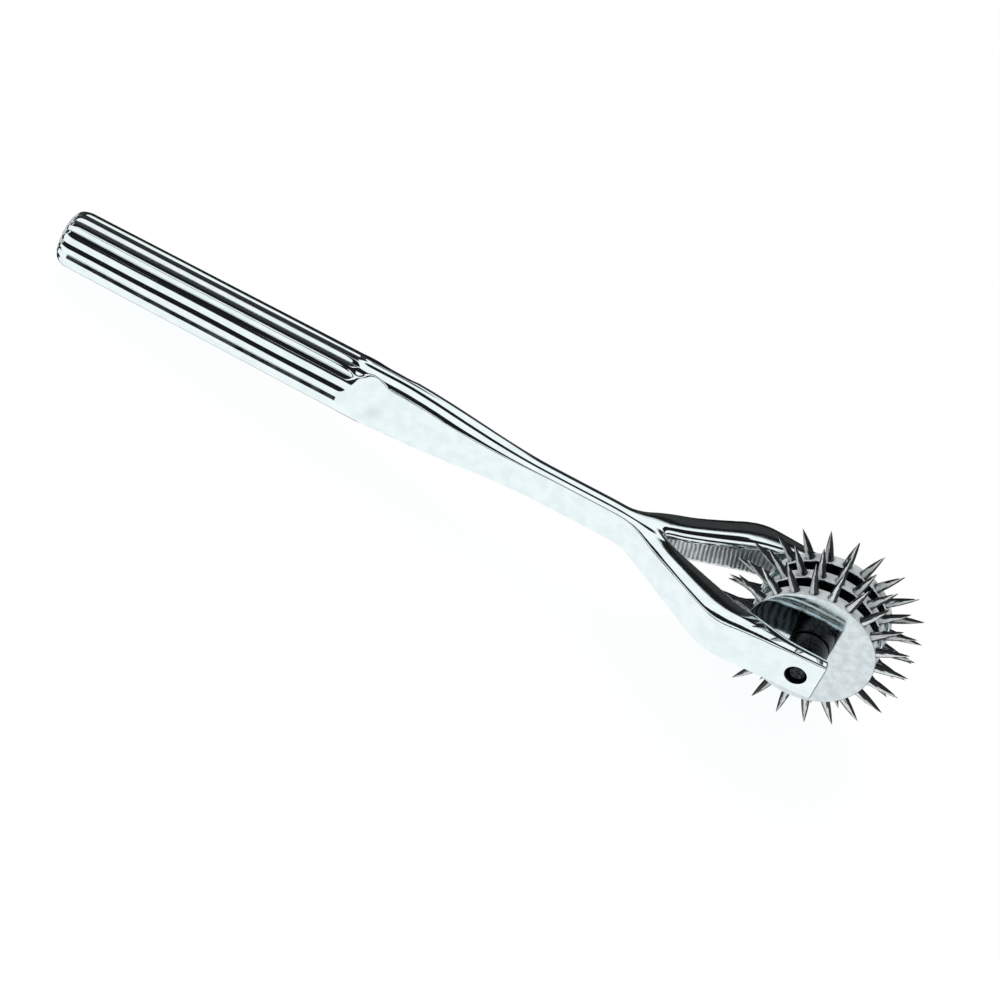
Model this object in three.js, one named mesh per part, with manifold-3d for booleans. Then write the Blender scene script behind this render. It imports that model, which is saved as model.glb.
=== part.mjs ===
import * as THREE from "three";
import { mergeVertices } from "three/addons/utils/BufferGeometryUtils.js";
import Module from "manifold-3d";

// Neurological pinwheel: a fluted steel handle forged into a fork, with three pinned discs that
// turn side by side on one axle between the arms. Millimetres, +Z up. The instrument lies as it
// does on a table: the grip's end and the lowest pins touch it. X runs from the grip to the wheel
// and Y along the axle. The handle's own frame has its origin on the axle and X along the grip.

const wasm = await Module();
wasm.setup();

// Handle, measured along it from the axle
const axleToGripEnd = 159.7;
const gripLength = 61.8;
const gripEndRadius = 5.65;
const gripRadius = 6.0;
const gripEndRounding = 3.2;
const fluteCount = 14;
const fluteDepth = 0.6;
const fluteRunOut = 1.6;
const scoopLength = 9.6;
const neckRadius = 6.0;
const neckHalfWidth = 2.75;
const waistFromAxle = 62.0;
const waistRadius = 3.7;
const waistHalfWidth = 1.78;
const waistHalfHeight = 3.35;

// Fork, measured from the axle and from the handle's middle plane
const splayFromAxle = 39.8;
const splaySoftening = 2.5;
const bendFromAxle = 18.3;
const bendHalfSpread = 15.75;
const bendSoftening = 3.5;
const armReach = 3.9;
const tipHalfSpread = 14.15;
const crotchFromAxle = 33.6;
const innerBendFromAxle = 16.5;
const innerBendHalfSpread = 8.0;
const seatFromAxle = 4.0;
const innerSoftening = 2.0;
const seatHalfSpread = 10.9;
const tipHalfHeight = 4.55;
const armOuterCorner = 1.0;
const armInnerCorner = 1.4;
const armOverlap = 0.3;
const rootInset = 0.35;
const tongueShare = 0.5;
const seam = 0.04;
const spotFaceRadius = 4.6;
const overrun = 1.0;

// Axle and what is threaded on it
const clearance = 0.3;
const boreRadius = 2.0;
const journalRadius = 1.7;
const journalRecess = 0.7;
const axleRadius = 2.5;
const spacerRadius = 4.0;
const chamfer = 0.2;

// Pinned discs
const pinCount = 22;
const pinLength = 6.6;
const discRadius = 12.8;
const tipRadius = discRadius + pinLength;
const discThickness = 2.5;
const rowPitch = 5.1;
const pinRadius = 0.9;
const pinPointRadius = 0.12;
const pinBellyShare = 0.45;
const pinBellyRadiusShare = 0.74;
const shankRadius = 0.6;
const shankDepth = 1.6;

// Fineness of the round forms
const pointsPerFlute = 4;
const endSteps = 4;
const scoopSteps = 6;
const neckSteps = 4;
const armCornerPoints = 4;
const armSteps = 24;
const roundSides = 32;
const discSides = 44;
const pinSides = 8;

// Angles of the points in one rounded corner of a section
function cornerPoints(count) {
  const angles = [];
  for (let i = 0; i < count; i += 1) {
    angles.push(((i + 0.5) / count) * (Math.PI / 2));
  }
  return angles;
}

// Section across the grip or neck: a round bar cut flat on both sides, with the flutes pressed in
// by depth. A flute lies on each side and a land on top.
function barSection(x, radius, halfWidth, depth) {
  const count = fluteCount * pointsPerFlute;
  const ring = [];
  for (let i = 0; i < count; i += 1) {
    const angle = (i / count) * 2 * Math.PI;
    const reach = radius - (i % pointsPerFlute === 0 ? depth : 0);
    const spread = reach * Math.abs(Math.cos(angle));
    const cut = spread > halfWidth ? reach * (halfWidth / spread) : reach;
    ring.push(new THREE.Vector3(x, cut * Math.cos(angle), cut * Math.sin(angle)));
  }
  return ring;
}

// Section across one arm, between its inner and outer side, with its own corner on each side
function armSection(x, inner, outer, halfHeight, innerCorner, outerCorner) {
  const corners = [
    [outer, 1, outerCorner, 0],
    [inner, 1, innerCorner, 1],
    [inner, -1, innerCorner, 2],
    [outer, -1, outerCorner, 3],
  ];
  const ring = [];
  for (const [side, up, corner, quarter] of corners) {
    const inward = side === outer ? -1 : 1;
    const centreY = side + inward * corner;
    const centreZ = up * (halfHeight - corner);
    for (const angle of cornerPoints(armCornerPoints)) {
      const direction = (quarter * Math.PI) / 2 + angle;
      const y = centreY + corner * Math.cos(direction);
      const z = centreZ + corner * Math.sin(direction);
      ring.push(new THREE.Vector3(x, y, z));
    }
  }
  return ring;
}

// Closed skin over rings of equally many points, with a fan over each end. The rings follow +X and
// run from +Y to +Z.
function loft(rings) {
  const count = rings[0].length;
  const positions = [];
  const indices = [];
  for (const ring of rings) {
    for (const point of ring) {
      positions.push(point.x, point.y, point.z);
    }
  }
  for (let r = 0; r + 1 < rings.length; r += 1) {
    for (let i = 0; i < count; i += 1) {
      const next = (i + 1) % count;
      const a = r * count + i;
      const b = r * count + next;
      const c = (r + 1) * count + i;
      const d = (r + 1) * count + next;
      indices.push(a, b, d, a, d, c);
    }
  }
  for (const [ringIndex, flip] of [[0, true], [rings.length - 1, false]]) {
    const centre = new THREE.Vector3();
    for (const point of rings[ringIndex]) {
      centre.add(point);
    }
    centre.divideScalar(count);
    const centreIndex = positions.length / 3;
    positions.push(centre.x, centre.y, centre.z);
    for (let i = 0; i < count; i += 1) {
      const a = ringIndex * count + i;
      const b = ringIndex * count + ((i + 1) % count);
      if (flip) {
        indices.push(centreIndex, b, a);
      } else {
        indices.push(centreIndex, a, b);
      }
    }
  }
  const geometry = new THREE.BufferGeometry();
  geometry.setAttribute("position", new THREE.Float32BufferAttribute(positions, 3));
  geometry.setIndex(indices);
  return geometry;
}

// Solid for cutting and joining, from a closed geometry
function toSolid(geometry) {
  const bare = geometry.clone();
  bare.deleteAttribute("normal");
  bare.deleteAttribute("uv");
  const merged = mergeVertices(bare);
  const vertProperties = new Float32Array(merged.attributes.position.array);
  const triVerts = new Uint32Array(merged.index.array);
  return new wasm.Manifold(new wasm.Mesh({ numProp: 3, vertProperties, triVerts }));
}

function toGeometry(solid) {
  const mesh = solid.getMesh();
  const geometry = new THREE.BufferGeometry();
  geometry.setAttribute("position", new THREE.Float32BufferAttribute(mesh.vertProperties, 3));
  geometry.setIndex(new THREE.Uint32BufferAttribute(mesh.triVerts, 1));
  geometry.computeVertexNormals();
  return geometry;
}

// Turned piece about Y from (radius, y) pairs
function turned(profile, sides) {
  return new THREE.LatheGeometry(profile.map(([r, y]) => new THREE.Vector2(r, y)), sides);
}

function mix(a, b, share) {
  return a + (b - a) * share;
}

// Fast at first, level at the end
function easeOut(share) {
  return 1 - (1 - share) * (1 - share);
}

function clampShare(value) {
  return Math.min(1, Math.max(0, value));
}

// Zero before a corner and the distance past it after, with the corner rounded over its softening
function pastCorner(x, corner, softening) {
  const run = x - corner;
  if (run <= -softening) {
    return 0;
  }
  if (run >= softening) {
    return run;
  }
  return ((run + softening) * (run + softening)) / (4 * softening);
}

// Materials
const polishedSteel = new THREE.MeshStandardMaterial({ color: 0xd9dddf, roughness: 0.12, metalness: 1 });
const pinSteel = new THREE.MeshStandardMaterial({ color: 0xc9cdd0, roughness: 0.2, metalness: 1 });
const axleSteel = new THREE.MeshStandardMaterial({ color: 0x9b9fa3, roughness: 0.35, metalness: 1 });

function named(name, geometry, material) {
  const mesh = new THREE.Mesh(geometry, material);
  mesh.name = name;
  return mesh;
}

// Fork sides in the handle's frame
const bendSlope = (bendHalfSpread - waistHalfWidth) / (splayFromAxle - bendFromAxle);
const toeInSlope = (bendHalfSpread - tipHalfSpread) / (bendFromAxle + armReach);
const innerSlope = innerBendHalfSpread / (crotchFromAxle - innerBendFromAxle);
const innerTailSlope = (seatHalfSpread - innerBendHalfSpread) / (innerBendFromAxle - seatFromAxle);

function armOuter(x) {
  const splay = bendSlope * pastCorner(x, -splayFromAxle, splaySoftening);
  const bend = (bendSlope + toeInSlope) * pastCorner(x, -bendFromAxle, bendSoftening);
  return waistHalfWidth + splay - bend;
}

function armInner(x) {
  const splay = innerSlope * (x + crotchFromAxle);
  const bend = (innerSlope - innerTailSlope) * pastCorner(x, -innerBendFromAxle, innerSoftening);
  const seat = innerTailSlope * pastCorner(x, -seatFromAxle, innerSoftening);
  return Math.max(-armOverlap, splay - bend - seat);
}

function armHalfHeight(x) {
  const share = clampShare((x + splayFromAxle) / (splayFromAxle - seatFromAxle));
  return mix(waistHalfHeight, tipHalfHeight, share);
}

// Grip, scooped shoulder and neck as one lengthwise skin. Its end is a tongue inside the fork's root.
function gripAndNeck() {
  const rings = [];
  const endX = -axleToGripEnd;
  const shoulderX = endX + gripLength;
  for (let i = 0; i <= endSteps; i += 1) {
    const angle = (Math.PI / 2) * (1 - i / endSteps);
    const x = endX + gripEndRounding * (1 - Math.sin(angle));
    const radius = gripEndRadius - gripEndRounding * (1 - Math.cos(angle));
    rings.push(barSection(x, radius, radius, fluteDepth * Math.cos(angle)));
  }
  rings.push(barSection(shoulderX - fluteRunOut, gripRadius, gripRadius, fluteDepth));
  const scoopEndX = shoulderX + scoopLength;
  for (let i = 0; i <= scoopSteps; i += 1) {
    const share = i / scoopSteps;
    const radius = mix(gripRadius, neckRadius, share);
    const halfWidth = mix(gripRadius, neckHalfWidth, easeOut(share));
    rings.push(barSection(mix(shoulderX, scoopEndX, share), radius, halfWidth, 0));
  }
  for (let i = 1; i <= neckSteps; i += 1) {
    const share = i / neckSteps;
    const radius = mix(neckRadius, waistRadius, share);
    const halfWidth = mix(neckHalfWidth, waistHalfWidth, share * share);
    rings.push(barSection(mix(scoopEndX, -waistFromAxle, share), radius, halfWidth, 0));
  }
  rings.push(barSection(-splayFromAxle - splaySoftening, waistRadius, waistHalfWidth, 0));
  const tongueX = mix(-splayFromAxle, -crotchFromAxle, tongueShare);
  rings.push(barSection(tongueX, waistHalfHeight - rootInset, waistHalfWidth - rootInset, 0));
  return loft(rings);
}

// One arm on the +Y side, its root sunk in the neck
function arm() {
  const rings = [];
  const rootX = -splayFromAxle - splaySoftening - overrun;
  for (let i = 0; i <= armSteps; i += 1) {
    const x = mix(rootX, armReach, i / armSteps);
    const opened = clampShare((armInner(x) + armOverlap) / (armInnerCorner + armOverlap));
    const innerCorner = mix(seam, armInnerCorner, opened);
    const inset = i === 0 ? rootInset : seam;
    const outerSide = armOuter(x) - inset;
    const halfHeight = armHalfHeight(x) - inset;
    rings.push(armSection(x, armInner(x), outerSide, halfHeight, innerCorner, armOuterCorner));
  }
  const tipX = armReach + armOuterCorner / 2;
  const tipInner = armInner(armReach) + armOuterCorner / 2;
  const tipOuter = armOuter(armReach) - armOuterCorner / 2;
  const tipHeight = armHalfHeight(armReach) - armOuterCorner / 2;
  rings.push(armSection(tipX, tipInner, tipOuter, tipHeight, armOuterCorner, armOuterCorner));
  return loft(rings);
}

// Handle and fork in one forging, bored for the axle, with the arms' inner sides faced round it
function handleFork() {
  const farArm = toSolid(arm());
  const nearGeometry = arm().scale(1, -1, 1);
  const order = nearGeometry.index.array;
  for (let i = 0; i < order.length; i += 3) {
    [order[i], order[i + 1]] = [order[i + 1], order[i]];
  }
  const bore = new THREE.CylinderGeometry(
    boreRadius, boreRadius, 2 * (bendHalfSpread + overrun), roundSides,
  );
  const facing = new THREE.CylinderGeometry(
    spotFaceRadius, spotFaceRadius, 2 * seatHalfSpread, roundSides,
  );
  const body = toSolid(gripAndNeck()).add(farArm).add(toSolid(nearGeometry));
  const bored = body.subtract(toSolid(bore)).subtract(toSolid(facing));
  return named("handle_fork", toGeometry(bored), polishedSteel);
}

// Shouldered axle: its body fills the space between the arms, its journals lie in their bores
function axle() {
  const shoulder = seatHalfSpread - clearance;
  const end = armOuter(0) - journalRecess;
  const profile = [
    [0, -end],
    [journalRadius - chamfer, -end],
    [journalRadius, -end + chamfer],
    [journalRadius, -shoulder],
    [axleRadius, -shoulder],
    [axleRadius, shoulder],
    [journalRadius, shoulder],
    [journalRadius, end - chamfer],
    [journalRadius - chamfer, end],
    [0, end],
  ];
  return named("axle", turned(profile, roundSides), axleSteel);
}

// Spacer tube on the axle between two places along it
function spacer(name, from, to) {
  const bore = axleRadius + clearance;
  const profile = [
    [bore, from],
    [spacerRadius - chamfer, from],
    [spacerRadius, from + chamfer],
    [spacerRadius, to - chamfer],
    [spacerRadius - chamfer, to],
    [bore, to],
    [bore, from],
  ];
  return named(name, turned(profile, roundSides), axleSteel);
}

function spacers() {
  const discEdge = discThickness / 2 + clearance;
  const outerFrom = rowPitch + discEdge;
  const outerTo = seatHalfSpread - clearance;
  return [
    spacer("far_outer_spacer", outerFrom, outerTo),
    spacer("far_middle_spacer", discEdge, rowPitch - discEdge),
    spacer("near_middle_spacer", discEdge - rowPitch, -discEdge),
    spacer("near_outer_spacer", -outerTo, -outerFrom),
  ];
}

// Angle of a pin about the axle, with two pins level at the bottom
function pinAngle(index) {
  return -Math.PI / 2 + ((index + 0.5) * 2 * Math.PI) / pinCount;
}

// Shape about Y, stood on the disc's rim at a pin's angle
function standOnRim(geometry, index) {
  return geometry.rotateZ(-Math.PI / 2).rotateY(-pinAngle(index));
}

// Pin with a bullet point on a straight shank, measured outward from the axle
function pinShape(from, base) {
  const belly = mix(base, tipRadius, pinBellyShare);
  return turned([
    [0, from],
    [shankRadius, from],
    [shankRadius, base],
    [pinRadius, base],
    [pinRadius * pinBellyRadiusShare, belly],
    [pinPointRadius, tipRadius],
    [0, tipRadius],
  ], pinSides);
}

function discBlank() {
  const bore = axleRadius + clearance;
  const half = discThickness / 2;
  return toSolid(turned([
    [bore, -half],
    [discRadius - chamfer, -half],
    [discRadius, -half + chamfer],
    [discRadius, half - chamfer],
    [discRadius - chamfer, half],
    [bore, half],
    [bore, -half],
  ], discSides));
}

// Disc drilled round its rim, and its pins set in the holes
function pinnedRow(side) {
  const row = new THREE.Group();
  let disc = discBlank();
  const holeBottom = discRadius - shankDepth - clearance;
  const holeTop = discRadius + overrun;
  const holeRadius = shankRadius + clearance;
  for (let i = 0; i < pinCount; i += 1) {
    const drill = new THREE.CylinderGeometry(holeRadius, holeRadius, holeTop - holeBottom, pinSides);
    drill.translate(0, (holeTop + holeBottom) / 2, 0);
    disc = disc.subtract(toSolid(standOnRim(drill, i)));
    const pin = standOnRim(pinShape(discRadius - shankDepth, discRadius + clearance), i);
    row.add(named(`${side}_pin_${String(i + 1).padStart(2, "0")}`, pin, pinSteel));
  }
  row.add(named(`${side}_disc`, toGeometry(disc), polishedSteel));
  return row;
}

// Middle disc with its pins joined to it
function middleRow() {
  let disc = discBlank();
  for (let i = 0; i < pinCount; i += 1) {
    disc = disc.add(toSolid(standOnRim(pinShape(discRadius - shankDepth, discRadius - chamfer), i)));
  }
  return named("middle_pin_disc", toGeometry(disc), polishedSteel);
}

// Slope of the handle when its rounded end and the two lowest pins stand on one surface
function restingTilt() {
  const axleHeight = tipRadius * Math.cos(Math.PI / pinCount);
  const reach = axleToGripEnd - gripEndRounding;
  const edge = gripEndRadius - gripEndRounding;
  const full = Math.hypot(reach, edge);
  return Math.asin((axleHeight - gripEndRounding) / full) - Math.atan2(edge, reach);
}

const pinwheel = new THREE.Group();
const handle = new THREE.Group();
handle.rotation.y = -restingTilt();
handle.add(handleFork(), axle(), ...spacers());

const nearRow = pinnedRow("near");
nearRow.position.y = -rowPitch;
const farRow = pinnedRow("far");
farRow.position.y = rowPitch;

pinwheel.add(handle, nearRow, middleRow(), farRow);

// Origin under the middle of the resting instrument
const extent = new THREE.Box3().setFromObject(pinwheel, true);
const middle = extent.getCenter(new THREE.Vector3());
pinwheel.position.set(-middle.x, -middle.y, -extent.min.z);

export default pinwheel;
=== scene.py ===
import math

import bmesh
import bpy
import numpy as np
from mathutils import Matrix


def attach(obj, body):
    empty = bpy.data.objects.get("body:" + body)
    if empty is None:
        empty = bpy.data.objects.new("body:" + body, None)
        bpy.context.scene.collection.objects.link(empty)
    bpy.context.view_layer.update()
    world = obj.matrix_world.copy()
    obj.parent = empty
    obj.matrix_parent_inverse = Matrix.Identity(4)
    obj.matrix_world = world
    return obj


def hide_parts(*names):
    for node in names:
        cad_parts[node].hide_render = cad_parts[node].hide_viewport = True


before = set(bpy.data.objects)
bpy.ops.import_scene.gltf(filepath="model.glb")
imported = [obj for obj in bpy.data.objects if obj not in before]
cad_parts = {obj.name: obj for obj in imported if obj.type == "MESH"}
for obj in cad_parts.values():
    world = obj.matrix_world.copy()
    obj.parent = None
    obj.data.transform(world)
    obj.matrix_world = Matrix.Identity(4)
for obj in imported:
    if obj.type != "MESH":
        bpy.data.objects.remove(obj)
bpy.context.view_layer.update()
print("frame loaded:", len(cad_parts), "nodes")

# Shapes are worked out in millimetres in the handle's own frame: the origin on the axle, X along
# the grip towards the wheel, Y along the axle to the far arm, Z up. At rest it lies aslant.
resting = {"axleX": 69.9558, "axleZ": 19.2196, "tiltDegrees": 4.97129, "metresPerMillimetre": 0.001}
axlePlace = [resting[key] * resting["metresPerMillimetre"] for key in ("axleX", "axleZ")]


def tiltedVectors(vectors, degrees):
    # turn about Y so that +X rises by the angle
    cos, sin = math.cos(math.radians(degrees)), math.sin(math.radians(degrees))
    x, y, z = vectors[..., 0], vectors[..., 1], vectors[..., 2]
    return np.stack([x * cos - z * sin, y, x * sin + z * cos], -1)


def toWorld(points, tilted=True):
    # millimetres about the axle to metres in the scene; the wheels stand upright, so they stay untilted
    points = np.asarray(points, float)
    if tilted:
        points = tiltedVectors(points, resting["tiltDegrees"])
    return (points + [resting["axleX"], 0, resting["axleZ"]]) * resting["metresPerMillimetre"]


def mixed(a, b, share):
    # a at share 0, b at share 1, a straight line between
    return a + (b - a) * share


def smoothStep(low, high, value):
    # 0 below low, 1 above high, an S curve between
    share = np.clip((value - low) / (high - low), 0, 1)
    return share * share * (3 - 2 * share)


def smoothMinimum(a, b, width):
    # the lesser of the two, rounded where they differ by less than the width
    near = np.maximum(width - np.abs(a - b), 0) / width
    return np.minimum(a, b) - near * near * width / 4


def pastCorner(x, corner, softening):
    # zero before a corner, the distance past it after, a parabola between
    run = x - corner
    curve = (run + softening) ** 2 / (4 * softening)
    return np.where(run <= -softening, 0.0, np.where(run >= softening, run, curve))


def gridFaces(rows, columns, start=0, wrap=False):
    # quads between neighbouring rows and columns of points
    across = columns if wrap else columns - 1
    r, c = np.meshgrid(np.arange(rows - 1), np.arange(across), indexing="ij")
    n = (c + 1) % columns
    quads = [r * columns + c, r * columns + n, (r + 1) * columns + n, (r + 1) * columns + c]
    return np.stack(quads, -1).reshape(-1, 4) + start


def makePiece(name, grids, materials, weld=1e-7):
    # one mesh from grids of world points: each is (points by row and column, wrap, material index),
    # with one index for the whole grid or one for each face
    points, faces, finish = [], [], []
    start = 0
    for grid, wrap, slotIndex in grids:
        rows, columns = grid.shape[:2]
        quads = gridFaces(rows, columns, start, wrap)
        points.append(grid.reshape(-1, 3))
        faces.append(quads)
        finish.append(np.broadcast_to(np.ravel(slotIndex), len(quads)))
        start += rows * columns
    mesh = bpy.data.meshes.new(name)
    mesh.from_pydata(np.concatenate(points).tolist(), [], np.concatenate(faces).tolist())
    mesh.polygons.foreach_set("material_index", np.concatenate(finish).astype(np.int32))
    shape = bmesh.new()
    shape.from_mesh(mesh)
    bmesh.ops.remove_doubles(shape, verts=shape.verts, dist=weld)
    bmesh.ops.recalc_face_normals(shape, faces=shape.faces)
    shape.to_mesh(mesh)
    shape.free()
    mesh.polygons.foreach_set("use_smooth", np.ones(len(mesh.polygons), bool))
    mesh.update()
    for material in materials:
        mesh.materials.append(material)
    piece = bpy.data.objects.new(name, mesh)
    bpy.context.scene.collection.objects.link(piece)
    return piece


# Shader maths: a socket is a node's output, and sums and products of sockets add Math nodes
class Socket:
    def __init__(self, shader, output):
        self.shader = shader
        self.output = output

    def math(self, operation, *values):
        return self.shader.math(operation, self, *values)

    def __add__(self, other):
        return self.math("ADD", other)

    def __radd__(self, other):
        return self.math("ADD", other)

    def __sub__(self, other):
        return self.math("SUBTRACT", other)

    def __rsub__(self, other):
        return self.shader.math("SUBTRACT", other, self)

    def __mul__(self, other):
        return self.math("MULTIPLY", other)

    def __rmul__(self, other):
        return self.math("MULTIPLY", other)

    def __truediv__(self, other):
        return self.math("DIVIDE", other)

    def __rtruediv__(self, other):
        return self.shader.math("DIVIDE", other, self)


class Shader:
    def __init__(self, tree):
        self.tree = tree

    def node(self, kind, settings=None, inputs=None, output=0):
        # settings first, then values or links by socket number or name; gives one of its outputs
        made = self.tree.nodes.new(kind)
        for key, value in (settings or {}).items():
            setattr(made, key, value)
        pairs = inputs.items() if isinstance(inputs, dict) else enumerate(inputs or [])
        for key, value in pairs:
            if isinstance(value, Socket):
                self.tree.links.new(value.output, made.inputs[key])
            else:
                made.inputs[key].default_value = value
        return Socket(self, made.outputs[output]) if made.outputs else None

    def math(self, operation, *values):
        return self.node("ShaderNodeMath", {"operation": operation}, values)

    def between(self, value, low, high, toLow=0.0, toHigh=1.0):
        # S curve from toLow to toHigh as value goes from low to high
        return self.node("ShaderNodeMapRange", {"interpolation_type": "SMOOTHSTEP"},
                         [value, low, high, toLow, toHigh])

    def blend(self, share, a, b):
        # colour a to colour b
        return self.node("ShaderNodeMix", {"data_type": "RGBA"}, {0: share, 6: a, 7: b}, output=2)

    def place(self):
        # where the point lies on its object
        return self.node("ShaderNodeTexCoord", output="Object")

    def axes(self, vector):
        # its x, y and z
        return [self.node("ShaderNodeSeparateXYZ", {}, [vector], output) for output in range(3)]

    def vector(self, x, y, z):
        return self.node("ShaderNodeCombineXYZ", {}, [x, y, z])

    def noise(self, vector, scale, detail):
        return self.node("ShaderNodeTexNoise", {}, {"Vector": vector, "Scale": scale, "Detail": detail})

    def aboutAxle(self, x, z):
        # along and up from the axle, and the distance from it
        across = x - axlePlace[0]
        up = z - axlePlace[1]
        return across, up, (across * across + up * up).math("SQRT")

    def finishSteel(self, tint, metallic, roughness, height):
        # steel of a tint, with its height in metres as bump
        bump = self.node("ShaderNodeBump", {}, {"Strength": 1.0, "Distance": 1.0, "Height": height})
        steel = self.node("ShaderNodeBsdfPrincipled", {}, {
            "Base Color": tint, "Metallic": metallic, "Roughness": roughness, "Normal": bump})
        self.node("ShaderNodeOutputMaterial", {}, {"Surface": steel})


def newMaterial(name):
    material = bpy.data.materials.new(name)
    material.use_nodes = True
    material.node_tree.nodes.clear()
    return material, Shader(material.node_tree)


def grey(level):
    return (level, level, level, 1.0)


# Steel finishes. Lengths are in metres, scales in features per metre. A finish with a line stretch
# is drawn along X, and the others are turned about the axle.
steels = {
    "polishedHandle": {
        "dark": (0.80, 0.90, 0.92, 1), "light": (0.88, 0.965, 0.98, 1), "roughness": 0.035,
        "roughnessSpread": 0.05, "lineScale": 2600, "lineStretch": 0.03, "lineDepth": 1.2e-6,
        "waveScale": 70, "waveDepth": 2.2e-5, "metallic": 1.0,
        # a grey patch on the scoop: painted reflection of shade in a dimple
        "paintedGreyPlace": (-0.0216, -0.0040, 0.0100), "paintedGreyReach": (0.0008, 0.0030), "paintedGreyShare": 0.16,
        "paintedGreyLevel": 0.25,
    },
    "polishedDisc": {
        "dark": (0.60, 0.67, 0.69, 1), "light": (0.72, 0.79, 0.81, 1), "roughness": 0.07,
        "roughnessSpread": 0.07, "lineScale": 2600, "lineDepth": 1.6e-6,
        "waveScale": 110, "waveDepth": 2.5e-5, "metallic": 1.0,
    },
    "brushedRim": {
        "dark": (0.62, 0.67, 0.68, 1), "light": (0.88, 0.94, 0.95, 1), "roughness": 0.24,
        "roughnessSpread": 0.12, "lineScale": 2600, "lineDepth": 2.0e-6,
        "waveScale": 45, "waveDepth": 1.0e-5, "metallic": 0.35,
    },
    # near-black steel: a painted dark reflection, laid on one flute's wall
    "paintedDarkReflection": {
        "dark": (0.010, 0.012, 0.013, 1), "light": (0.05, 0.056, 0.058, 1), "roughness": 0.22,
        "roughnessSpread": 0.12, "lineScale": 2600, "lineStretch": 0.03, "lineDepth": 1.2e-6,
        "waveScale": 70, "waveDepth": 2.2e-5, "metallic": 1.0,
    },
    # near black: painted shade of the axle's recessed ends, and the spacers share it
    "axleSteel": {
        "dark": (0.012, 0.014, 0.015, 1), "light": (0.055, 0.062, 0.065, 1), "roughness": 0.34,
        "roughnessSpread": 0.15, "lineScale": 2500, "lineDepth": 4.0e-6,
        "waveScale": 300, "waveDepth": 1.0e-5, "metallic": 1.0,
    },
}
# shared by all of them: how rings are laid out, each noise's detail, where smudges and wear begin and end
steelGrain = {"metresPerRadian": 0.0008, "lineDetail": 3.0, "waveDetail": 2.0, "smudgeDetail": 4.0,
              "smudgesPerWave": 6, "smudgeEnds": (0.35, 0.65), "wearEnds": (0.38, 0.68)}


def steelMaterial(name):
    # polished or turned steel: fine lines along X or in rings, slow waves, and smudges in its tint
    look = steels[name]
    grain = steelGrain
    material, shader = newMaterial(name)
    place = shader.place()
    x, y, z = shader.axes(place)
    if "lineStretch" in look:
        lineSpace = shader.vector(x * look["lineStretch"], y, z)
    else:
        across, up, radius = shader.aboutAxle(x, z)
        lineSpace = shader.vector(radius, y, across.math("ARCTAN2", up) * grain["metresPerRadian"])
    lines = shader.noise(lineSpace, look["lineScale"], grain["lineDetail"])
    waves = shader.noise(place, look["waveScale"], grain["waveDetail"])
    smudges = shader.noise(place, look["waveScale"] * grain["smudgesPerWave"], grain["smudgeDetail"])
    tint = shader.blend(shader.between(smudges, *grain["smudgeEnds"]), look["dark"], look["light"])
    # painted reflection: a grey patch on the scoop, in the base colour
    if "paintedGreyPlace" in look:
        away = shader.node("ShaderNodeVectorMath", {"operation": "DISTANCE"},
                           [place, look["paintedGreyPlace"]], output="Value")
        paintedGrey = shader.between(away, *look["paintedGreyReach"], look["paintedGreyShare"], 0.0) * (smudges + 0.5)
        tint = shader.blend(paintedGrey, tint, grey(look["paintedGreyLevel"]))
    worn = shader.between(smudges * 0.5 + lines * 0.5, *grain["wearEnds"])
    roughness = worn * look["roughnessSpread"] + look["roughness"]
    height = lines * look["lineDepth"] + waves * look["waveDepth"]
    shader.finishSteel(tint, look["metallic"], roughness, height)
    return material


filedFaces = {
    "filedFar": {"dark": (0.16, 0.18, 0.19, 1), "light": (0.62, 0.66, 0.67, 1), "roughness": 0.42,
                 "ridgesPerMetre": 1250, "waver": 0.0007},
    # the near arm's inner face near black: painted shade of the gap between the arms
    "filedNearShaded": {"dark": (0.004, 0.005, 0.006, 1), "light": (0.06, 0.07, 0.075, 1), "roughness": 0.38,
                  "ridgesPerMetre": 700, "waver": 0.0022},
}
fileMarks = {"slant": 0.25, "waverScale": 260.0, "waverDetail": 2.0, "detail": 3.0,
             "ridgeDepth": 5.0e-5, "fineScale": 5200.0, "fineUpright": 0.1, "fineDepth": 1.2e-5,
             "patchScale": 320.0, "ridgeShare": 0.3, "fineShare": 0.55, "patchShare": 0.4,
             "shadeEnds": (0.35, 0.85), "roughnessFall": 0.12}


def filedMaterial(name):
    # the arms' inner faces: file ridges across the arm as a wavering sine, with finer scratches
    look = filedFaces[name]
    marks = fileMarks
    material, shader = newMaterial(name)
    place = shader.place()
    x, y, z = shader.axes(place)
    waver = shader.noise(place, marks["waverScale"], marks["waverDetail"])
    along = x + z * marks["slant"] + waver * look["waver"]
    ridge = (along * (look["ridgesPerMetre"] * 2 * math.pi)).math("SINE") * 0.5 + 0.5
    scratchSpace = shader.vector(along, y, z * marks["fineUpright"])
    fine = shader.noise(scratchSpace, marks["fineScale"], marks["detail"])
    patches = shader.noise(place, marks["patchScale"], marks["detail"])
    marked = ridge * marks["ridgeShare"] + fine * marks["fineShare"] + patches * marks["patchShare"]
    shade = shader.between(marked, *marks["shadeEnds"])
    tint = shader.blend(shade, look["dark"], look["light"])
    height = ridge * marks["ridgeDepth"] + fine * marks["fineDepth"]
    shader.finishSteel(tint, 1.0, look["roughness"] - shade * marks["roughnessFall"], height)
    return material


# Axle, the spacers on it and the rows it carries
spindle = {"journalRadius": 1.7, "recess": 0.7, "bodyRadius": 2.5, "shoulder": 10.6, "chamfer": 0.25,
           "centreRadii": (0.35, 0.55), "centreDepth": 0.25, "centreRim": 0.05, "endChamfer": 0.3,
           "spacerRadius": 4.0, "spacerBoreGap": 0.1, "spacerEndGap": 0.02, "clearance": 0.3,
           "discHalf": 1.25, "rowPitch": 5.1, "sides": 64}
pinsPerRow = 22
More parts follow.
